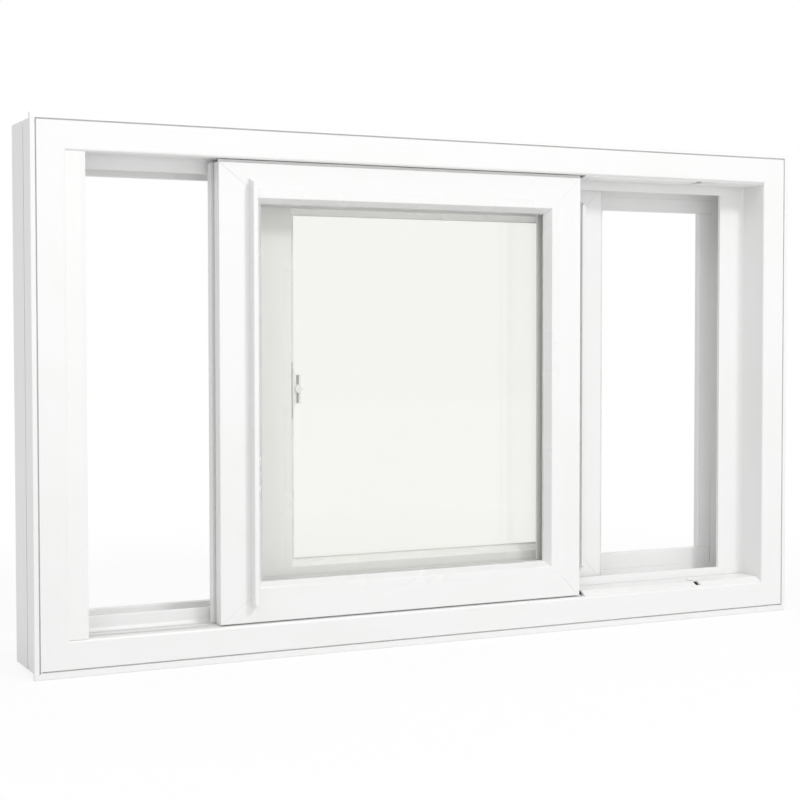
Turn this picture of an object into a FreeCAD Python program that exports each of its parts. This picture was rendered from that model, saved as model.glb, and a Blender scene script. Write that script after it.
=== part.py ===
import FreeCAD, Part
import math
import os
from FreeCAD import Vector

os.makedirs("parts", exist_ok=True)

# Horizontal sliding window of white PVC: two glazed sashes run side by side in a mitred frame.
# X runs along the window, Z is up, and -Y faces the room. The origin lies on the sill's
# underside, at mid length and mid depth. Heights in a profile count inwards from the lip's
# edge, and depths count from the frame's front face.

# Frame, overall
window_w = 1200.0
window_h = 725.0

# Lip round the front, with a groove behind its face
lip_over = 5.0
lip_thick = 5.0
lip_chamfer = 3.0
lip_face = 6.5
sill_lip_face = 9.0
lip_round = 1.2
face_groove_w = 2.0
face_groove_d = 4.0

# Front track
face_width = 46.5
sill_face_width = 48.5
edge_round = 3.5
front_setback = 8.0
front_back_clear = 6.0
riser_thick = 5.0
riser_height = 17.5
sill_riser_height = 20.0
riser_foot_round = 5.0
wall_round = 1.0
jamb_web_extra = 28.0

# Rear track
rear_pocket = 9.5
rear_setback = 5.0
rear_back_clear = 5.0
rear_leg_thick = 11.0
rear_leg_height = 22.0

# Groove for a nailing fin, round the outer sides
fin_slot_at = 55.0
fin_slot_w = 3.5
fin_slot_d = 5.0

# Guide groove in the head, and the strips that the rollers run on
guide_slot_w = 7.0
guide_slot_d = 5.0
strip_ahead = 7.0
strip_w = 14.0
strip_rise = 0.8
strip_end_clear = 0.5
pile_w = 7.0
pile_rise = 1.1

# Crowned covers over the empty end of the front track
cover_thick = 1.8
sill_cover_rise = 7.3
head_cover_rise = 3.8
cover_from = 4.0
cover_solid_to = 10.0
cover_knee = 14.0
cover_knee_round = 8.0
cover_back_clear = 1.2
cover_side_clear = 5.0
clip_share = 0.362
clip_slot_w = 9.0
clip_slot_front = 5.0
sill_clip_slot_back = 20.0
head_clip_slot_back = 36.0
clip_slit_l = 16.0
clip_slit_w = 4.0

# Cover on the left jamb, in front of the closed sash's stile
jamb_cover_w = 25.2
jamb_cover_from = 0.8
jamb_cover_thick = 2.2
jamb_cover_bevel_w = 6.0
jamb_cover_bevel_d = 1.2
jamb_cover_edge_round = 0.4
jamb_cover_foot = 7.0

# Stops behind the rear sash
stop_width = 24.5
sill_stop_width = 26.0
head_stop_width = 21.0
stop_thick = 10.0
stop_overlap = 45.0
stop_round = 1.5

# Sashes
sash_w = 566.5
sash_thick = 40.0
sash_gap = 4.5
front_low_gap = 1.7
front_meeting_face = 36.0
rear_meeting_face = 40.5
rail_face = 34.0
rear_low_rail_face = 42.5
sash_round = 1.2
rear_flange = 2.0
front_sash_open = 201.0
rear_sash_open = 245.5
side_groove_w = 7.0
side_groove_d = 15.0
side_groove_at = 17.5
seam_w = 0.5
seam_d = 0.5

# Pull rails
pull_rail_w = 6.5
pull_rail_base = 8.5
front_pull_at = 43.5
rear_pull_at = 34.5
pull_rail_out = 16.0
rear_pull_rail_out = 12.0
pull_rail_short = 21.0
pull_rail_slant = 5.0
pull_rail_round = 1.0

# Glazing
bead_flat = 12.5
bead_width = 19.5
bead_bevel = 12.5
bead_thick = 14.0
bead_round = 1.5
gasket_w = 1.8
gasket_front = 13.0
pane_thick = 4.0
pane_gap = 12.0
glass_seat = 0.3
glass_bite = 12.0
glass_edge_clear = 1.0
spacer_w = 7.0

# Seals on the edges of the sashes
seal_front = 1.5
seal_thick = 3.0
head_seal_clear = 0.9
side_seal_out = 3.0

# Rollers and guides
roller_r = 7.0
roller_side_clear = 0.3
roller_clear = 0.5
roller_from_end = 70.0
guide_l = 30.0
guide_w = 5.0
guide_reach = 2.5

# Latch on the rear sash's meeting stile
latch_body_h = 42.0
latch_body_w = 8.5
latch_wing_w = 3.5
latch_wing_up = 16.0
latch_wing_down = 21.0
latch_over_glass = 8.5
latch_up = 3.0
latch_front = 3.0
latch_corner = 1.0
latch_hole_w = 4.0
latch_hole_h = 13.5
latch_hole_from = 6.0
hub_r = 5.0
hub_thick = 3.0
hub_lift = 0.3
nose_l = 8.0
nose_tip = 2.0
nose_foot = 8.0
nose_round = 0.6
pin_r = 1.5
pin_l = 3.5

floor_u = face_width
floors = {"left": floor_u, "right": floor_u, "top": floor_u, "bottom": sill_face_width}
riser_tops = dict.fromkeys(("left", "right", "top"), floor_u + riser_height)
riser_tops["bottom"] = sill_face_width + sill_riser_height
front_track_depth = front_setback + sash_thick + front_back_clear
riser_back = front_track_depth + riser_thick
rear_sash_face = riser_back + rear_setback
rear_leg_front = rear_sash_face + sash_thick + rear_back_clear
frame_depth = rear_leg_front + rear_leg_thick
front_y = -frame_depth / 2
low_z = -lip_over
left_x = -window_w / 2
pocket_u = floor_u + rear_pocket
web_u = floor_u + riser_height + jamb_web_extra
rear_top_u = floor_u + rear_leg_height
groove_mid = side_groove_at + side_groove_w / 2
front_mid = front_setback + groove_mid
rear_mid = rear_sash_face + groove_mid
side_gap = sash_gap + rear_flange
front_sash_x = left_x + floor_u + side_gap + front_sash_open
rear_sash_x = -left_x - pocket_u - side_gap - rear_sash_open - sash_w
cover_x = front_sash_x + sash_w + rear_flange + cover_side_clear
strip_end = cover_x - strip_end_clear
latch_back = gasket_front - glass_seat


def write(shape, node):
    shape.exportStep("parts/" + node + ".step")


def box(x0, x1, d0, d1, z0, z1):
    """Block between two corners; depths count from the frame's front face."""
    corner = Vector(x0, front_y + d0, z0)
    return Part.makeBox(x1 - x0, d1 - d0, z1 - z0, corner)


def round_corner(before, corner, after, radius):
    """Start, middle and end of the arc that rounds a corner."""
    ax, ay = before[0] - corner[0], before[1] - corner[1]
    bx, by = after[0] - corner[0], after[1] - corner[1]
    a = math.hypot(ax, ay)
    b = math.hypot(bx, by)
    ax, ay, bx, by = ax / a, ay / a, bx / b, by / b
    half = math.acos(ax * bx + ay * by) / 2
    run = radius / math.tan(half)
    mx, my = ax + bx, ay + by
    reach = (radius / math.sin(half) - radius) / math.hypot(mx, my)
    return [(corner[0] + ax * run, corner[1] + ay * run),
            (corner[0] + mx * reach, corner[1] + my * reach),
            (corner[0] + bx * run, corner[1] + by * run)]


def outline(points, place):
    """Closed wire; a point's third value is the radius of its corner."""
    runs = []
    for i, p in enumerate(points):
        if len(p) == 3:
            after = points[(i + 1) % len(points)]
            runs.append(round_corner(points[i - 1], p, after, p[2]))
        else:
            runs.append([p])
    edges = []
    for i, run in enumerate(runs):
        if len(run) == 3:
            a, b, c = [place(*q) for q in run]
            edges.append(Part.Arc(a, b, c).toShape())
        start = place(*run[-1])
        end = place(*runs[(i + 1) % len(runs)][0])
        edges.append(Part.makeLine(start, end))
    return Part.Wire(edges)


def prism(points, place, direction):
    return Part.Face(outline(points, place)).extrude(direction)


def plate(points, d0, d1):
    """Flat piece; points are (x, z), and it reaches from depth d0 to d1."""
    return prism(points, lambda x, z: Vector(x, front_y + d0, z), Vector(0, d1 - d0, 0))


class Rim:
    """A rectangle whose four sides carry one mitred profile each.

    With widths given, each mitre line leans so that it ends where the inner edges meet.
    """

    def __init__(self, x0, z0, width, height, front, widths=None):
        self.x0 = x0
        self.z0 = z0
        self.width = width
        self.height = height
        self.front = front
        self.widths = widths

    def point(self, side, u, depth):
        y = front_y + self.front + depth
        if side == "bottom":
            return Vector(0, y, self.z0 + u)
        if side == "top":
            return Vector(0, y, self.z0 + self.height - u)
        if side == "left":
            return Vector(self.x0 + u, y, 0)
        return Vector(self.x0 + self.width - u, y, 0)

    def corner(self, side_x, side_z, u):
        """Point (x, z) on the mitre line, u inwards from a corner."""
        run = u
        if self.widths:
            knee = self.widths[side_z]
            run = min(u, knee) * self.widths[side_x] / knee + max(u - knee, 0.0)
        x = self.x0 + run if side_x == "left" else self.x0 + self.width - run
        z = self.z0 + u if side_z == "bottom" else self.z0 + self.height - u
        return (x, z)

    def mitre(self, side, reach, spill):
        ends = {"bottom": (("left", "bottom"), ("right", "bottom")), "top": (("left", "top"), ("right", "top")),
                "left": (("left", "bottom"), ("left", "top")), "right": (("right", "bottom"), ("right", "top"))}
        shape = []
        for corner, order in zip(ends[side], (1, -1)):
            knees = [self.widths[corner[1]]] if self.widths else []
            steps = [-spill] + knees + [reach]
            shape += [self.corner(*corner, u) for u in steps[::order]]
        return plate(shape, -window_w, window_w)

    def bar(self, side, profile):
        """One mitred side; a profile point is (distance inwards, depth, radius if rounded)."""
        spill = 2 * max(1.0, -min(p[0] for p in profile))
        reach = 1.0 + max(p[0] for p in profile)
        if side in ("bottom", "top"):
            start = Vector(self.x0 - spill, 0, 0)
            along = Vector(self.width + 2 * spill, 0, 0)
        else:
            start = Vector(0, 0, self.z0 - spill)
            along = Vector(0, 0, self.height + 2 * spill)
        solid = prism(profile, lambda u, depth: self.point(side, u, depth) + start, along)
        return solid.common(self.mitre(side, reach, spill))

    def seams(self):
        """Thin cutters along the four mitre lines, as deep as a cleaned weld."""
        cutters = []
        for side_x in ("left", "right"):
            for side_z in ("bottom", "top"):
                ax, az = self.corner(side_x, side_z, 0)
                bx, bz = self.corner(side_x, side_z, self.widths[side_z])
                across = Vector(az - bz, 0, bx - ax)
                across.normalize()
                across = across * (seam_w / 2)
                strip = [(ax + across.x, az + across.z), (bx + across.x, bz + across.z),
                         (bx - across.x, bz - across.z), (ax - across.x, az - across.z)]
                cutters.append(plate(strip, self.front - seam_d, self.front + seam_d))
        return Part.makeCompound(cutters)


frame_rim = Rim(left_x, low_z, window_w, window_h, 0.0, floors)


def guide_groove(side, floor, middle):
    """Points of the guide groove in the head."""
    if side != "top":
        return []
    a = middle - guide_slot_w / 2
    b = middle + guide_slot_w / 2
    low = floor - guide_slot_d
    return [(floor, a), (low, a), (low, b), (floor, b)]


def frame_profile(side):
    lip = sill_lip_face if side == "bottom" else lip_face
    floor = floors[side]
    top = riser_tops[side]
    points = [
        (0, 0, lip_round),
        (lip, 0),
        (lip, face_groove_d),
        (lip + face_groove_w, face_groove_d),
        (lip + face_groove_w, 0),
        (floor, 0, edge_round),
    ]
    points += guide_groove(side, floor, front_mid)
    points += [
        (floor, front_track_depth, riser_foot_round),
        (top, front_track_depth, wall_round),
        (top, riser_back, wall_round),
        (pocket_u, riser_back),
    ]
    points += guide_groove(side, pocket_u, rear_mid)
    points += [
        (pocket_u, rear_leg_front),
        (rear_top_u, rear_leg_front, wall_round),
        (rear_top_u, frame_depth, wall_round),
        (lip_over, frame_depth, wall_round),
        (lip_over, fin_slot_at + fin_slot_w),
        (lip_over + fin_slot_d, fin_slot_at + fin_slot_w),
        (lip_over + fin_slot_d, fin_slot_at),
        (lip_over, fin_slot_at),
        (lip_over, lip_thick + lip_chamfer),
        (0, lip_thick),
    ]
    return points


def jamb_web():
    """The wide front-facing wall on the right jamb; it meets the risers of head and sill in a mitre."""
    low = low_z + floors["bottom"]
    low_top = low_z + riser_tops["bottom"]
    high = low_z + window_h - floor_u
    high_top = low_z + window_h - riser_tops["top"]
    shape = [(floor_u, low), (web_u - low_top + low, low), (web_u, low_top), (web_u, high_top),
             (web_u - high + high_top, high), (floor_u, high)]
    return plate([(-left_x - u, z) for u, z in shape], front_track_depth, riser_back)


def make_frame():
    web = jamb_web()
    for side, node in (("top", "frame_head"), ("bottom", "frame_sill")):
        write(frame_rim.bar(side, frame_profile(side)).cut(web), node)
    write(frame_rim.bar("left", frame_profile("left")), "frame_left_jamb")
    right = frame_rim.bar("right", frame_profile("right")).fuse(web)
    write(right.removeSplitter(), "frame_right_jamb")


def sill_strip(floor, a, b, rise, end):
    """Strip lying on the sill's floor, from depth a to b."""
    start = left_x + floor_u if floor == floors["bottom"] else left_x + pocket_u
    top = floor + rise
    profile = [(floor, a), (floor, b), (top, b, rise / 2), (top, a, rise / 2)]
    return prism(profile, lambda u, depth: Vector(start, front_y + depth, low_z + u), Vector(end - start, 0, 0))


def make_strips():
    """Strips that the rollers run on, and the pile strips beside the front one."""
    floor = floors["bottom"]
    a = front_mid - strip_ahead
    b = a + strip_w
    write(sill_strip(floor, a, b, strip_rise, strip_end), "front_track_rail")
    piles = [sill_strip(floor, a - pile_w, a, pile_rise, strip_end),
             sill_strip(floor, b, b + pile_w, pile_rise, strip_end)]
    write(Part.makeCompound(piles), "front_track_piles")
    a = rear_mid - strip_ahead
    write(sill_strip(pocket_u, a, a + strip_w, strip_rise, -left_x - pocket_u), "rear_track_rail")


class Sash:
    """One glazed sash at its place in the photo."""

    def __init__(self, name, x0, face, track, gap, widths, pull_side, pull_out):
        self.name = name
        self.x0 = x0
        self.face = face
        low_track, high_track = track
        self.z0 = low_z + low_track + gap
        self.height = low_z + window_h - high_track - sash_gap - self.z0
        self.strip_top = low_z + low_track + strip_rise
        self.widths = widths
        self.pull_side = pull_side
        self.pull_out = pull_out
        self.rim = Rim(x0, self.z0, sash_w, self.height, face, widths)
        self.glazed_w = sash_w - widths["left"] - widths["right"]
        self.glazed_h = self.height - widths["top"] - widths["bottom"]
        self.glazing = Rim(x0 + widths["left"], self.z0 + widths["bottom"], self.glazed_w, self.glazed_h, face)

    def profile(self, side):
        width = self.widths[side]
        shelf = width + pull_rail_base if side == self.pull_side else width
        flange = rear_flange if side in ("left", "right") else 0.0
        glass_back = bead_thick + 2 * glass_seat + 2 * pane_thick + pane_gap
        seat = width + bead_width - glass_bite - glass_edge_clear
        inner = width + bead_width
        return [
            (0, 0, sash_round),
            (shelf, 0),
            (shelf, bead_thick),
            (seat, bead_thick),
            (seat, glass_back),
            (inner, glass_back),
            (inner, sash_thick, bead_round),
            (-flange, sash_thick, sash_round),
            (-flange, side_groove_at + side_groove_w),
            (side_groove_d, side_groove_at + side_groove_w),
            (side_groove_d, side_groove_at),
            (0, side_groove_at),
        ]

    def bead_profile(self):
        return [(0, 0), (bead_flat, 0, bead_round), (bead_width, bead_bevel, wall_round),
                (bead_width, bead_thick), (0, bead_thick)]

    def pull_rail(self):
        """Rail that stands out along the closing stile; its ends are slanted."""
        z0 = self.z0 + pull_rail_short
        z1 = self.z0 + self.height - pull_rail_short
        y = front_y + self.face
        out = self.pull_out
        foot = pull_rail_base - pull_rail_w
        profile = [(0, 0), (0, -out, pull_rail_round), (pull_rail_w, -out, pull_rail_round),
                   (pull_rail_w, -foot, pull_rail_round), (pull_rail_base, 0)]
        at = self.widths[self.pull_side]
        sign = 1 if self.pull_side == "left" else -1
        start = self.x0 + at if self.pull_side == "left" else self.x0 + sash_w - at
        rail = prism(profile, lambda u, depth: Vector(start + sign * u, y + depth, z0), Vector(0, 0, z1 - z0))
        ends = [(-out, z0 + pull_rail_slant), (-out, z1 - pull_rail_slant), (0, z1), (0, z0)]
        side = prism(ends, lambda depth, z: Vector(self.x0, y + depth, z), Vector(sash_w, 0, 0))
        return rail.common(side)

    def carriers(self):
        """Places along the sash of its two rollers and guides."""
        return [self.x0 + roller_from_end, self.x0 + sash_w - roller_from_end]

    def make(self):
        names = {"left": "left_stile", "right": "right_stile", "top": "top_rail", "bottom": "bottom_rail"}
        seams = self.rim.seams()
        limits = box(self.x0 - sash_w, self.x0 + 2 * sash_w, 0, frame_depth, self.z0, self.z0 + self.height)
        for side, word in names.items():
            bar = self.rim.bar(side, self.profile(side)).common(limits).cut(seams)
            bead = self.glazing.bar(side, self.bead_profile())
            if side == self.pull_side:
                bar = bar.fuse(self.pull_rail()).removeSplitter()
                bead = bead.cut(bar)
            write(bar, self.name + "_" + word)
            write(bead, self.name + "_" + side + "_bead")
        self.make_glass()
        self.make_gasket()
        self.make_rollers()
        self.make_guides()
        self.make_edge_seal()

    def make_rollers(self):
        wheels = []
        width = side_groove_w - 2 * roller_side_clear
        z = self.strip_top + roller_clear + roller_r
        y = front_y + self.face + groove_mid - width / 2
        for x in self.carriers():
            wheels.append(Part.makeCylinder(roller_r, width, Vector(x, y, z), Vector(0, 1, 0)))
        write(Part.makeCompound(wheels), self.name + "_rollers")

    def make_guides(self):
        """Blocks seated in the top rail's groove that run in the head's guide groove."""
        blocks = []
        low = self.z0 + self.height - side_groove_d
        high = self.z0 + self.height + sash_gap + guide_reach
        front = self.face + groove_mid - guide_w / 2
        for x in self.carriers():
            blocks.append(box(x - guide_l / 2, x + guide_l / 2, front, front + guide_w, low, high))
        write(Part.makeCompound(blocks), self.name + "_guides")

    def make_edge_seal(self):
        """Seal strip along the top edge; on the rear sash it also runs down the closing edge."""
        d0 = self.face + seal_front
        d1 = d0 + seal_thick
        top = self.z0 + self.height
        x1 = self.x0 + sash_w
        seal = box(self.x0, x1, d0, d1, top, top + sash_gap - head_seal_clear)
        if self.name == "rear_sash":
            seal = seal.fuse(box(x1, x1 + side_seal_out, d0, d1, self.z0, top + sash_gap - head_seal_clear))
        write(seal.removeSplitter(), self.name + "_edge_seal")

    def inner_block(self, inset, d0, d1):
        """Block inside the glazing's rim, inset from it all round."""
        g = self.glazing
        return box(g.x0 + inset, g.x0 + g.width - inset, self.face + d0, self.face + d1,
                   g.z0 + inset, g.z0 + g.height - inset)

    def make_glass(self):
        edge = bead_width - glass_bite
        inner = bead_thick + glass_seat
        gap = inner + pane_thick
        outer = gap + pane_gap
        write(self.inner_block(edge, inner, gap), self.name + "_inner_pane")
        write(self.inner_block(edge, outer, outer + pane_thick), self.name + "_outer_pane")
        hole = self.inner_block(edge + spacer_w, gap, outer)
        write(self.inner_block(edge, gap, outer).cut(hole), self.name + "_spacer")

    def make_gasket(self):
        """Lip of the seal that shows between the beads and the glass."""
        back = bead_thick + glass_seat
        ring = self.inner_block(bead_width, gasket_front, back)
        hole = self.inner_block(bead_width + gasket_w, gasket_front, back)
        write(ring.cut(hole), self.name + "_gasket")


front_widths = {"left": front_pull_at, "right": front_meeting_face, "top": rail_face, "bottom": rail_face}
rear_widths = {"left": rear_meeting_face, "right": rear_pull_at, "top": rail_face, "bottom": rear_low_rail_face}
front_sash = Sash("front_sash", front_sash_x, front_setback, (floors["bottom"], floor_u), front_low_gap,
                  front_widths, "left", pull_rail_out)
rear_sash = Sash("rear_sash", rear_sash_x, rear_sash_face, (pocket_u, pocket_u), sash_gap,
                 rear_widths, "right", rear_pull_rail_out)


def make_covers():
    """Hollow covers with a sloped front edge, snapped over the front track right of the front sash."""
    x1 = -left_x - floor_u
    clip_x = x1 - clip_share * (x1 - cover_x)
    back = front_track_depth - cover_back_clear
    start = Vector(cover_x, 0, 0)
    half = clip_slot_w / 2
    middle_z = window_h / 2
    slit_x = clip_x - half
    slit_end = sill_clip_slot_back + clip_slit_l
    sill_slot = box(slit_x, clip_x + half, clip_slot_front, sill_clip_slot_back, low_z, middle_z)
    slit = box(slit_x, slit_x + clip_slit_w, sill_clip_slot_back, slit_end, low_z, middle_z)
    head_slot = box(slit_x, clip_x + half, clip_slot_front, head_clip_slot_back, middle_z, window_h)
    jamb = frame_rim.bar("right", frame_profile("right"))
    for side, word, rise in (("bottom", "sill", sill_cover_rise), ("top", "head", head_cover_rise)):
        floor = floors[side]
        under = floor + rise - cover_thick
        profile = [
            (floor, cover_from),
            (floor + cover_thick, cover_from, cover_thick / 3),
            (floor + rise, cover_knee, cover_knee_round),
            (floor + rise, back),
            (under, back),
            (under, cover_knee + cover_thick),
            (floor, cover_solid_to),
        ]
        cover = prism(profile, lambda u, depth: frame_rim.point(side, u, depth) + start,
                      Vector(x1 - cover_x, 0, 0))
        write(cover.cut(sill_slot).cut(slit).cut(head_slot).cut(jamb), word + "_track_cover")


def make_jamb_cover():
    """Flat cover that hides the edge of the closed front sash, snapped onto the left jamb."""
    back = jamb_cover_from + jamb_cover_thick
    edge = floor_u + jamb_cover_w
    leg = floor_u + cover_thick
    profile = [
        (floor_u, jamb_cover_from),
        (edge - jamb_cover_bevel_w, jamb_cover_from),
        (edge, jamb_cover_from + jamb_cover_bevel_d, jamb_cover_edge_round),
        (edge, back),
        (leg, back),
        (leg, jamb_cover_foot),
        (floor_u, jamb_cover_foot),
    ]
    low = low_z + floors["bottom"]
    up = Vector(0, 0, low_z + window_h - floor_u - low)
    write(prism(profile, lambda u, depth: Vector(left_x + u, front_y + depth, low), up), "left_jamb_cover")


def stop_profile(width):
    return [(0, 0), (0, stop_thick), (width, stop_thick), (width, 0, stop_round)]


def make_stops():
    """Stops that the rear sash closes against, round the right half of the rear opening."""
    y = front_y + rear_leg_front
    x0 = -stop_overlap
    x1 = -left_x - rear_top_u
    z0 = low_z + rear_top_u
    z1 = low_z + window_h - rear_top_u
    along = Vector(x1 - x0, 0, 0)
    low = z0 + sill_stop_width
    up = Vector(0, 0, z1 - head_stop_width - low)
    sill = prism(stop_profile(sill_stop_width), lambda u, depth: Vector(x0, y + depth, z0 + u), along)
    head = prism(stop_profile(head_stop_width), lambda u, depth: Vector(x0, y + depth, z1 - u), along)
    jamb = prism(stop_profile(stop_width), lambda u, depth: Vector(x1 - u, y + depth, low), up)
    write(sill, "rear_stop_sill")
    write(head, "rear_stop_head")
    write(jamb, "rear_stop_jamb")


def make_latch():
    """Latch housing on the meeting stile's bead, with a small turning thumb piece."""
    face = rear_sash.face
    x1 = rear_sash.glazing.x0 + bead_width + latch_over_glass
    x0 = x1 - latch_body_w
    z = rear_sash.z0 + rear_sash.height / 2 + latch_up
    half = latch_body_h / 2
    wing_x = x0 - latch_wing_w
    shape = [(wing_x, z - half - latch_wing_down), (x0, z - half), (x1, z - half, latch_corner),
             (x1, z + half, latch_corner), (x0, z + half), (wing_x, z + half + latch_wing_up)]
    body = plate(shape, face + latch_front, face + latch_back)
    hole_x = x0 + latch_wing_w / 2
    for low in (z + latch_hole_from, z - latch_hole_from - latch_hole_h):
        body = body.cut(box(hole_x, hole_x + latch_hole_w, face, face + latch_back, low, low + latch_hole_h))
    pivot_x = (x0 + x1) / 2
    hub_back = face + latch_front - hub_lift
    start = Vector(pivot_x, front_y + hub_back, z)
    pin_hole = Part.makeCylinder(pin_r + hub_lift, hub_lift + latch_back - latch_front, start, Vector(0, 1, 0))
    bead = rear_sash.glazing.bar("left", rear_sash.bead_profile())
    write(body.cut(bead).cut(pin_hole), "latch_plate")
    hub = Part.makeCylinder(hub_r, hub_thick, start, Vector(0, -1, 0))
    tip_x = pivot_x + nose_l
    nose = plate([(pivot_x, z - nose_foot / 2), (tip_x, z - nose_tip / 2, nose_round),
                  (tip_x, z + nose_tip / 2, nose_round), (pivot_x, z + nose_foot / 2)],
                 hub_back - hub_thick, hub_back)
    pin = Part.makeCylinder(pin_r, pin_l, start, Vector(0, 1, 0))
    write(hub.fuse(nose).fuse(pin).removeSplitter(), "latch_lever")


make_frame()
make_strips()
front_sash.make()
rear_sash.make()
make_covers()
make_jamb_cover()
make_stops()
make_latch()
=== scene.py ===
import bpy
import math
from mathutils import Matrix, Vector


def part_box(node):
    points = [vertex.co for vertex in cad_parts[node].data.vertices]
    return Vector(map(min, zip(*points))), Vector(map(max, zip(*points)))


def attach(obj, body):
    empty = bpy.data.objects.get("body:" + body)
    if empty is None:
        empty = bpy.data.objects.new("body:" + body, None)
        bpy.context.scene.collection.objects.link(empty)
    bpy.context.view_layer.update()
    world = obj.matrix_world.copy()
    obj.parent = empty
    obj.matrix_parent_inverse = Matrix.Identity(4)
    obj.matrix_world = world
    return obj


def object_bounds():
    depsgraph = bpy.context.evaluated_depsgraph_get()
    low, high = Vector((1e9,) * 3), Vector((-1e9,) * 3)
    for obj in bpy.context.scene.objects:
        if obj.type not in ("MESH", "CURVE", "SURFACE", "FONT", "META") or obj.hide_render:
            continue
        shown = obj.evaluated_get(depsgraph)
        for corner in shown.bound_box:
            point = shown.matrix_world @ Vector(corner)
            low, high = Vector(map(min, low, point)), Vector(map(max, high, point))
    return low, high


# Horizontal sliding window of white PVC, seen from the room side.
# Lengths are in metres, angles in degrees and lamp powers in watts.
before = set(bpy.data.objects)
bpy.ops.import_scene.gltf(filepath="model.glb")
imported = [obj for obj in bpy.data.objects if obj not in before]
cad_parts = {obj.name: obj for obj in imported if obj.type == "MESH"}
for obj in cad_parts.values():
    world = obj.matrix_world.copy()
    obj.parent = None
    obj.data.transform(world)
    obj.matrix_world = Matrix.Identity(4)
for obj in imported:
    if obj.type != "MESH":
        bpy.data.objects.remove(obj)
cad_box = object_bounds()

# Whites of the mouldings
PVC_WHITE = (0.872, 0.874, 0.872)
COVER_WHITE = (0.88, 0.88, 0.877)
STRIP_WHITE = (0.85, 0.85, 0.847)
LATCH_WHITE = (0.83, 0.83, 0.825)

# How much the marks and lines change a moulding's surface
SMEAR_TINT = (0.955, 0.95, 0.93)
SMEAR_TONE = 0.25
LINE_TONE = 0.25
SMEAR_ROUGHNESS = 0.05
SPECK_ROUGHNESS = 0.2
GRAIN_HEIGHT = 0.25
LINE_DEPTH = 0.00004

# Scale of the extrusion lines along a level and an upright profile
LINE_SCALES = {"x": (1.0, 90.0, 90.0), "z": (90.0, 90.0, 1.0)}

# Glass: how it bends light, the share of its tint that a smear leaves, and its tint for soft light
GLASS_IOR = 1.5
GLASS_SMEAR = 0.996
SOFT_LIGHT_TINT = (0.98, 0.982, 0.975, 1)

# Edge of the left jamb's cover
LIP_REACH = 0.00125
LIP_THICK = 0.0005
LIP_SLANT = 0.0005

# Light and floor of the studio
WINDOW_MIDDLE = (0.0, 0.0, 0.36)
FILL_STRENGTH = 0.57
FLOOR_SIZE = 14.0
FLOOR_COLOUR = (0.86, 0.86, 0.86, 1)
FLOOR_WHITE = 1.014
SHADOW_SHARE = 0.15
FADE_FROM = 0.7
FADE_TO = 1.8
WHITE = (1.0, 1.0, 1.0, 1)

# Camera at the photo's angle
CAMERA_PLACE = (-1.1151, -2.2206, 0.4501)
CAMERA_DIP = 2.178
CAMERA_TURN = -27.113
CAMERA_LENS = 76.5
CAMERA_SENSOR = 36.0
CAMERA_SHIFT_X = -0.0575
CAMERA_SHIFT_Y = -0.0125


# Node helpers

def place(tree, kind, **values):
    """Adds a node and sets its plain inputs by name; spaces in names are written as underscores."""
    node = tree.nodes.new(kind)
    for name, value in values.items():
        node.inputs[name.replace("_", " ")].default_value = value
    return node


def join(tree, source, output, target, entry):
    """Links an output of one node to an entry of another."""
    tree.links.new(source.outputs[output], target.inputs[entry])


def new_group(name, entries, exits):
    """Starts a shared effect with named inputs and outputs."""
    group = bpy.data.node_groups.new(name, "ShaderNodeTree")
    for label, kind, value in entries:
        socket = group.interface.new_socket(name=label, in_out="INPUT", socket_type=kind)
        socket.default_value = value
    for label, kind in exits:
        group.interface.new_socket(name=label, in_out="OUTPUT", socket_type=kind)
    start = group.nodes.new("NodeGroupInput")
    end = group.nodes.new("NodeGroupOutput")
    return group, start, end


def use(tree, coords, group, **values):
    """Places a shared effect in a material, laid out on the object's own coordinates."""
    node = tree.nodes.new("ShaderNodeGroup")
    node.node_tree = group
    for name, value in values.items():
        node.inputs[name.replace("_", " ")].default_value = value
    join(tree, coords, "Object", node, "Place")
    return node


def math_node(tree, operation, second=None):
    """Adds a calculation; second is its second value, where that is a constant."""
    node = tree.nodes.new("ShaderNodeMath")
    node.operation = operation
    if second is not None:
        node.inputs[1].default_value = second
    return node


def start_material(name):
    """New material, with its shader and the coordinates of the object that wears it."""
    material = bpy.data.materials.new(name)
    material.use_nodes = True
    tree = material.node_tree
    shader = tree.nodes["Principled BSDF"]
    coords = tree.nodes.new("ShaderNodeTexCoord")
    return material, tree, shader, coords


def colour_between(tree, shader, source, output, first, second):
    """The shader's colour goes from the first to the second as the source goes from 0 to 1."""
    tone = tree.nodes.new("ShaderNodeMix")
    tone.data_type = "RGBA"
    tone.inputs["A"].default_value = (*first, 1)
    tone.inputs["B"].default_value = (*second, 1)
    join(tree, source, output, tone, "Factor")
    join(tree, tone, "Result", shader, "Base Color")


def roughness_between(tree, shader, source, output, low, high):
    """The roughness goes from low to high as the source goes from 0 to 1."""
    rough = place(tree, "ShaderNodeMapRange", To_Min=low, To_Max=high)
    join(tree, source, output, rough, "Value")
    join(tree, rough, 0, shader, "Roughness")


def relief(tree, shader, source, output, strength, distance):
    """The surface rises by the distance where the source rises by 1."""
    bump = place(tree, "ShaderNodeBump", Strength=strength, Distance=distance)
    join(tree, source, output, bump, "Height")
    join(tree, bump, "Normal", shader, "Normal")


# Shared effects

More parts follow.
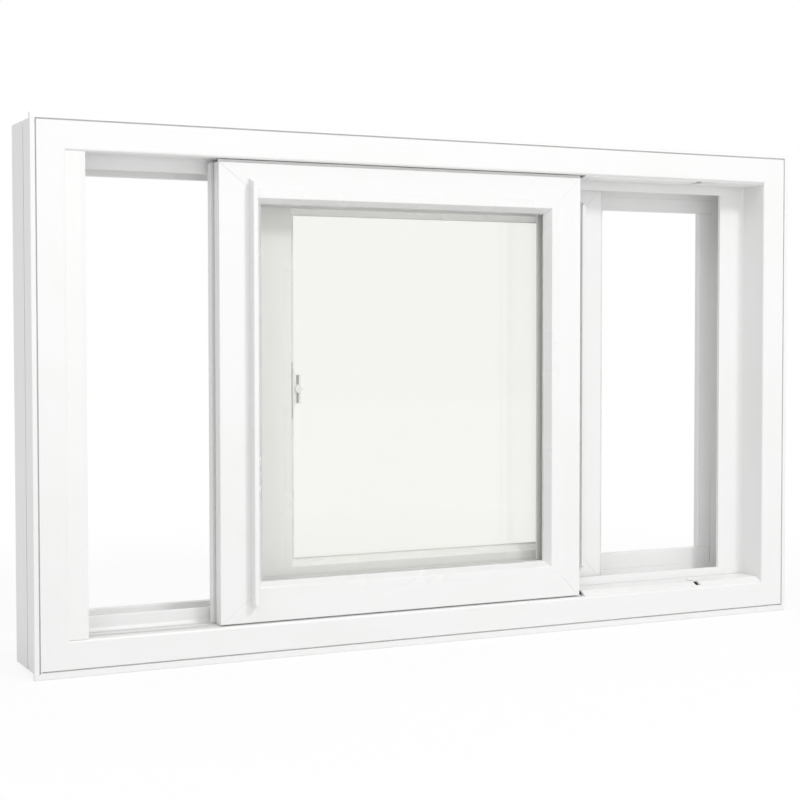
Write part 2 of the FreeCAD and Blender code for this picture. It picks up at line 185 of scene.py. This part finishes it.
def build_extrusion_lines():
    """Faint lines that the extruder leaves along a profile; Stretch is small along the profile."""
    group, start, end = new_group(
        "Extrusion lines",
        [("Place", "NodeSocketVector", (0, 0, 0)),
         ("Stretch", "NodeSocketVector", LINE_SCALES["x"]),
         ("Contrast", "NodeSocketFloat", 1.0)],
        [("Lines", "NodeSocketFloat")])
    stretch = place(group, "ShaderNodeVectorMath")
    stretch.operation = "MULTIPLY"
    noise = place(group, "ShaderNodeTexNoise", Scale=4.0, Detail=5.0, Roughness=0.65)
    spread = place(group, "ShaderNodeMapRange", From_Min=0.3, From_Max=0.7)
    level = math_node(group, "MULTIPLY")
    join(group, start, "Place", stretch, 0)
    join(group, start, "Stretch", stretch, 1)
    join(group, stretch, 0, noise, "Vector")
    join(group, noise, "Fac", spread, "Value")
    join(group, spread, 0, level, 0)
    join(group, start, "Contrast", level, 1)
    join(group, level, 0, end, "Lines")
    return group


def build_fine_grain():
    """Tiny even grain, as on plastic, rubber and pile."""
    group, start, end = new_group(
        "Fine grain",
        [("Place", "NodeSocketVector", (0, 0, 0)),
         ("Size", "NodeSocketFloat", 900.0)],
        [("Grain", "NodeSocketFloat")])
    noise = place(group, "ShaderNodeTexNoise", Detail=3.0, Roughness=0.6)
    join(group, start, "Place", noise, "Vector")
    join(group, start, "Size", noise, "Scale")
    join(group, noise, "Fac", end, "Grain")
    return group


def build_handling_marks():
    """Wide soft smears from hands and cleaning, and small specks of dust inside them."""
    group, start, end = new_group(
        "Handling marks",
        [("Place", "NodeSocketVector", (0, 0, 0)),
         ("Seed", "NodeSocketFloat", 0.0),
         ("Spread", "NodeSocketFloat", 7.0)],
        [("Smear", "NodeSocketFloat"), ("Specks", "NodeSocketFloat")])
    shift = place(group, "ShaderNodeVectorMath")
    smear = place(group, "ShaderNodeTexNoise", Detail=4.0, Roughness=0.55, Distortion=0.6)
    smear_range = place(group, "ShaderNodeMapRange", From_Min=0.38, From_Max=0.74)
    smear_range.interpolation_type = "SMOOTHERSTEP"
    specks = place(group, "ShaderNodeTexVoronoi", Scale=260.0)
    speck_range = place(
        group, "ShaderNodeMapRange", From_Min=0.0, From_Max=0.16, To_Min=1.0, To_Max=0.0)
    both = math_node(group, "MULTIPLY")
    join(group, start, "Place", shift, 0)
    join(group, start, "Seed", shift, 1)
    join(group, shift, 0, smear, "Vector")
    join(group, start, "Spread", smear, "Scale")
    join(group, smear, "Fac", smear_range, "Value")
    join(group, shift, 0, specks, "Vector")
    join(group, specks, "Distance", speck_range, "Value")
    join(group, speck_range, 0, both, 0)
    join(group, smear_range, 0, both, 1)
    join(group, smear_range, 0, end, "Smear")
    join(group, both, 0, end, "Specks")
    return group


extrusion_lines = build_extrusion_lines()
fine_grain = build_fine_grain()
handling_marks = build_handling_marks()


# Finishes

def white_pvc(name, along, seed, colour=PVC_WHITE, shine=0.3):
    """Satin white PVC; along is the axis of its profile."""
    material, tree, shader, coords = start_material(name)
    lines = use(tree, coords, extrusion_lines, Stretch=LINE_SCALES[along], Contrast=0.8)
    grain = use(tree, coords, fine_grain, Size=1100.0)
    marks = use(tree, coords, handling_marks, Seed=seed, Spread=6.0)
    smeared = [channel * tint for channel, tint in zip(colour, SMEAR_TINT)]
    streak = math_node(tree, "MULTIPLY", LINE_TONE)
    amount = math_node(tree, "MULTIPLY_ADD", SMEAR_TONE)
    join(tree, lines, "Lines", streak, 0)
    join(tree, marks, "Smear", amount, 0)
    join(tree, streak, 0, amount, 2)
    colour_between(tree, shader, amount, 0, colour, smeared)
    gloss = place(tree, "ShaderNodeMapRange", To_Min=shine, To_Max=shine + SMEAR_ROUGHNESS)
    speck = math_node(tree, "MULTIPLY_ADD", SPECK_ROUGHNESS)
    join(tree, marks, "Smear", gloss, "Value")
    join(tree, marks, "Specks", speck, 0)
    join(tree, gloss, 0, speck, 2)
    join(tree, speck, 0, shader, "Roughness")
    height = math_node(tree, "MULTIPLY_ADD", GRAIN_HEIGHT)
    join(tree, grain, "Grain", height, 0)
    join(tree, lines, "Lines", height, 2)
    relief(tree, shader, height, 0, strength=0.35, distance=LINE_DEPTH)
    return material


def seal_rubber(name, pale, dark):
    """Matt extruded seal, darker where it is clean and paler where it has been rubbed."""
    material, tree, shader, coords = start_material(name)
    grain = use(tree, coords, fine_grain, Size=600.0)
    marks = use(tree, coords, handling_marks, Seed=4.0, Spread=20.0)
    colour_between(tree, shader, marks, "Smear", dark, pale)
    roughness_between(tree, shader, grain, "Grain", low=0.55, high=0.75)
    relief(tree, shader, grain, "Grain", strength=0.3, distance=0.0001)
    return material


def pile_strip():
    """Woven pile of a weather strip: short upright fibres, in tufts."""
    material, tree, shader, coords = start_material("Pile strip")
    fibres = use(tree, coords, fine_grain, Size=2400.0)
    tufts = use(tree, coords, extrusion_lines, Stretch=(120.0, 40.0, 40.0), Contrast=1.0)
    colour_between(tree, shader, tufts, "Lines", (0.56, 0.56, 0.55), (0.72, 0.72, 0.7))
    shader.inputs["Roughness"].default_value = 0.95
    shader.inputs["Sheen Weight"].default_value = 0.4
    height = math_node(tree, "ADD")
    join(tree, fibres, "Grain", height, 0)
    join(tree, tufts, "Lines", height, 1)
    relief(tree, shader, height, 0, strength=0.7, distance=0.0004)
    return material


def spacer_metal():
    """Bright spacer bar between the panes, with rows of small holes for the drying agent; the holes
    are dark spots of painted shade.
    """
    material, tree, shader, coords = start_material("Spacer metal")
    lines = use(tree, coords, extrusion_lines, Stretch=(60.0, 300.0, 60.0), Contrast=1.0)
    # The holes are spots in the colour, painted shade inside them, with a slight dent from the
    # relief.
    holes = place(tree, "ShaderNodeTexVoronoi", Scale=220.0, Randomness=0.0)
    hole_shade_mask = place(tree, "ShaderNodeMapRange", From_Min=0.16, From_Max=0.22)
    join(tree, coords, "Object", holes, "Vector")
    join(tree, holes, "Distance", hole_shade_mask, "Value")
    # Painted shade: near-black where the holes are, bright metal between them.
    colour_between(tree, shader, hole_shade_mask, 0, (0.14, 0.14, 0.14), (0.7, 0.71, 0.71))
    shader.inputs["Metallic"].default_value = 0.85
    roughness_between(tree, shader, lines, "Lines", low=0.32, high=0.5)
    relief(tree, shader, hole_shade_mask, 0, strength=0.6, distance=0.0002)
    return material


def nylon():
    """Off-white nylon of the rollers and guides, greyer where it has run."""
    material, tree, shader, coords = start_material("Roller nylon")
    grain = use(tree, coords, fine_grain, Size=800.0)
    marks = use(tree, coords, handling_marks, Seed=9.0, Spread=60.0)
    colour_between(tree, shader, marks, "Smear", (0.78, 0.77, 0.73), (0.6, 0.59, 0.56))
    roughness_between(tree, shader, grain, "Grain", low=0.4, high=0.6)
    return material


def pane_glass(name, tint, seed):
    """Float glass with a faint tint and the slightest waviness; soft light goes through it."""
    material, tree, shader, coords = start_material(name)
    marks = use(tree, coords, handling_marks, Seed=seed, Spread=3.0)
    smeared = [channel * GLASS_SMEAR for channel in tint]
    colour_between(tree, shader, marks, "Smear", tint, smeared)
    roughness_between(tree, shader, marks, "Specks", low=0.0, high=0.012)
    wave = place(tree, "ShaderNodeTexNoise", Scale=2.5, Detail=0.0)
    join(tree, coords, "Object", wave, "Vector")
    relief(tree, shader, wave, "Fac", strength=0.05, distance=0.0005)
    shader.inputs["IOR"].default_value = GLASS_IOR
    shader.inputs["Transmission Weight"].default_value = 1.0
    path = tree.nodes.new("ShaderNodeLightPath")
    soft = math_node(tree, "MAXIMUM")
    clear = place(tree, "ShaderNodeBsdfTransparent", Color=SOFT_LIGHT_TINT)
    mix = tree.nodes.new("ShaderNodeMixShader")
    end = tree.nodes["Material Output"]
    join(tree, path, "Is Shadow Ray", soft, 0)
    join(tree, path, "Is Diffuse Ray", soft, 1)
    join(tree, soft, 0, mix, 0)
    join(tree, shader, "BSDF", mix, 1)
    join(tree, clear, "BSDF", mix, 2)
    join(tree, mix, 0, end, "Surface")
    return material


frame_across = white_pvc("Frame PVC, level", "x", 1.0)
frame_upright = white_pvc("Frame PVC, upright", "z", 2.0)
sash_across = white_pvc("Sash PVC, level", "x", 3.0)
sash_upright = white_pvc("Sash PVC, upright", "z", 5.0)
bead_across = white_pvc("Bead PVC, level", "x", 6.0, shine=0.26)
bead_upright = white_pvc("Bead PVC, upright", "z", 7.0, shine=0.26)
cover_finish = white_pvc("Cover PVC", "x", 8.0, COVER_WHITE, shine=0.28)
jamb_cover_finish = white_pvc("Jamb cover PVC", "z", 9.0, COVER_WHITE, shine=0.28)
stop_across = white_pvc("Stop PVC, level", "x", 10.0)
stop_upright = white_pvc("Stop PVC, upright", "z", 11.0)
strip_finish = white_pvc("Track strip PVC", "x", 12.0, STRIP_WHITE, shine=0.22)
latch_finish = white_pvc("Latch plastic", "z", 13.0, LATCH_WHITE, shine=0.4)
front_seal = seal_rubber("Front glazing seal", (0.66, 0.66, 0.64), (0.56, 0.57, 0.56))
rear_seal = seal_rubber("Rear glazing seal", (0.84, 0.84, 0.83), (0.78, 0.78, 0.77))
edge_seal = seal_rubber("Edge seal", (0.78, 0.78, 0.77), (0.7, 0.7, 0.69))
pile = pile_strip()
spacer = spacer_metal()
roller_finish = nylon()
coated_glass = pane_glass("Coated pane", (0.975, 0.975, 0.954), 14.0)
plain_glass = pane_glass("Plain pane", (0.998, 0.999, 0.997), 15.0)


# Dressing of the CAD nodes

def dress(finishes):
    """Gives each named CAD node its finish."""
    for node, material in finishes.items():
        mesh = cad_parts[node].data
        mesh.materials.clear()
        mesh.materials.append(material)


dress({
    "frame_head": frame_across,
    "frame_sill": frame_across,
    "frame_left_jamb": frame_upright,
    "frame_right_jamb": frame_upright,
    "front_track_rail": strip_finish,
    "front_track_piles": pile,
    "rear_track_rail": strip_finish,
    "head_track_cover": cover_finish,
    "sill_track_cover": cover_finish,
    "left_jamb_cover": jamb_cover_finish,
    "rear_stop_head": stop_across,
    "rear_stop_sill": stop_across,
    "rear_stop_jamb": stop_upright,
    "latch_plate": latch_finish,
    "latch_lever": latch_finish,
})
for sash, glazing_seal in (("front_sash", front_seal), ("rear_sash", rear_seal)):
    dress({
        sash + "_top_rail": sash_across,
        sash + "_bottom_rail": sash_across,
        sash + "_left_stile": sash_upright,
        sash + "_right_stile": sash_upright,
        sash + "_top_bead": bead_across,
        sash + "_bottom_bead": bead_across,
        sash + "_left_bead": bead_upright,
        sash + "_right_bead": bead_upright,
        sash + "_inner_pane": plain_glass,
        sash + "_outer_pane": coated_glass,
        sash + "_gasket": glazing_seal,
        sash + "_edge_seal": edge_seal,
        sash + "_spacer": spacer,
        sash + "_rollers": roller_finish,
        sash + "_guides": roller_finish,
    })


# Lip of the left jamb's cover

def build_cover_lip():
    """Thin edge of the cover, which lies against the rounded inner edge of the jamb's face."""
    low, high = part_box("left_jamb_cover")
    middle = (low[0] - LIP_REACH / 2, low[1] + LIP_THICK / 2, (low[2] + high[2]) / 2)
    size = (LIP_REACH, LIP_THICK, high[2] - low[2])
    bpy.ops.object.select_all(action="DESELECT")
    bpy.ops.mesh.primitive_cube_add(size=1.0, location=middle, scale=size)
    lip = bpy.context.object
    lip.name = "left_jamb_cover_lip"
    bpy.ops.object.transform_apply(location=True, rotation=True, scale=True)
    bpy.ops.object.mode_set(mode="EDIT")
    bpy.ops.mesh.select_mode(type="VERT")
    bpy.ops.mesh.select_all(action="DESELECT")
    bpy.ops.object.mode_set(mode="OBJECT")
    # The back edge next to the jamb moves in, so that the lip's side slants along the rounding.
    for vertex in lip.data.vertices:
        vertex.select = vertex.co.x < middle[0] and vertex.co.y > middle[1]
    bpy.ops.object.mode_set(mode="EDIT")
    bpy.ops.transform.translate(value=(LIP_SLANT, 0.0, 0.0))
    bpy.ops.object.mode_set(mode="OBJECT")
    lip.data.materials.append(jamb_cover_finish)
    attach(lip, "frame")


build_cover_lip()


# Studio

def seen_as_white(tree):
    """1 for rays from the camera, in reflections and through glass."""
    path = tree.nodes.new("ShaderNodeLightPath")
    first = math_node(tree, "MAXIMUM")
    second = math_node(tree, "MAXIMUM")
    join(tree, path, "Is Camera Ray", first, 0)
    join(tree, path, "Is Glossy Ray", first, 1)
    join(tree, first, 0, second, 0)
    join(tree, path, "Is Transmission Ray", second, 1)
    return second


def build_world():
    """Even white light on the window, and a white backdrop."""
    world = bpy.data.worlds.new("Studio")
    bpy.context.scene.world = world
    world.use_nodes = True
    tree = world.node_tree
    tree.nodes.clear()
    light = place(tree, "ShaderNodeBackground", Color=WHITE, Strength=FILL_STRENGTH)
    backdrop = place(tree, "ShaderNodeBackground", Color=WHITE, Strength=1.0)
    mix = tree.nodes.new("ShaderNodeMixShader")
    end = tree.nodes.new("ShaderNodeOutputWorld")
    join(tree, seen_as_white(tree), 0, mix, 0)
    join(tree, light, 0, mix, 1)
    join(tree, backdrop, 0, mix, 2)
    join(tree, mix, 0, end, "Surface")


def build_floor(low):
    """Pale floor that keeps a soft shadow near the window and fades to white further off."""
    bpy.ops.mesh.primitive_plane_add(size=FLOOR_SIZE, location=(0.0, 0.0, low))
    floor = bpy.context.object
    floor.name = "studio_floor"
    material = bpy.data.materials.new("Studio floor")
    material.use_nodes = True
    tree = material.node_tree
    tree.nodes.clear()
    matt = place(tree, "ShaderNodeBsdfDiffuse", Color=FLOOR_COLOUR)
    glow = place(tree, "ShaderNodeEmission", Color=WHITE, Strength=FLOOR_WHITE)
    mix = tree.nodes.new("ShaderNodeMixShader")
    share = math_node(tree, "MULTIPLY")
    coords = tree.nodes.new("ShaderNodeTexCoord")
    distance = tree.nodes.new("ShaderNodeVectorMath")
    distance.operation = "LENGTH"
    fade = place(
        tree, "ShaderNodeMapRange",
        From_Min=FADE_FROM, From_Max=FADE_TO, To_Min=1.0 - SHADOW_SHARE, To_Max=1.0)
    end = tree.nodes.new("ShaderNodeOutputMaterial")
    join(tree, coords, "Object", distance, 0)
    join(tree, distance, "Value", fade, "Value")
    join(tree, fade, 0, share, 1)
    join(tree, seen_as_white(tree), 0, share, 0)
    join(tree, share, 0, mix, 0)
    join(tree, matt, 0, mix, 1)
    join(tree, glow, 0, mix, 2)
    join(tree, mix, 0, end, "Surface")
    floor.data.materials.append(material)


def build_softbox(name, location, size, power):
    """Square soft lamp that faces the middle of the window and shows only in reflections."""
    data = bpy.data.lights.new(name, "AREA")
    data.energy = power
    data.size = size
    lamp = bpy.data.objects.new(name, data)
    bpy.context.scene.collection.objects.link(lamp)
    lamp.location = location
    facing = Vector(location) - Vector(WINDOW_MIDDLE)
    lamp.rotation_euler = facing.to_track_quat("Z", "Y").to_euler()
    lamp.visible_camera = False
    lamp.visible_transmission = False


def build_camera():
    """Camera with the place, turn and lens that were fitted to the photo."""
    data = bpy.data.cameras.new("camera")
    data.sensor_width = CAMERA_SENSOR
    data.lens = CAMERA_LENS
    data.shift_x = CAMERA_SHIFT_X
    data.shift_y = CAMERA_SHIFT_Y
    camera = bpy.data.objects.new("camera", data)
    camera.location = CAMERA_PLACE
    camera.rotation_euler = (math.radians(90.0 - CAMERA_DIP), 0.0, math.radians(CAMERA_TURN))
    bpy.context.scene.collection.objects.link(camera)
    bpy.context.scene.camera = camera


build_world()
build_floor(low=cad_box[0][2])
build_softbox("key", (1.0, -2.86, 2.9), size=0.6, power=42.5)
build_softbox("front_high", (0.0, -3.0, 2.5), size=2.0, power=4.0)
build_softbox("front_low", (0.0, -3.5, 0.4), size=2.0, power=16.0)
build_softbox("left_high", (-2.2, -2.0, 3.0), size=1.5, power=16.0)
build_softbox("top", (0.0, -0.3, 3.5), size=2.0, power=17.0)
build_camera()
bpy.context.scene.view_settings.view_transform = "Standard"
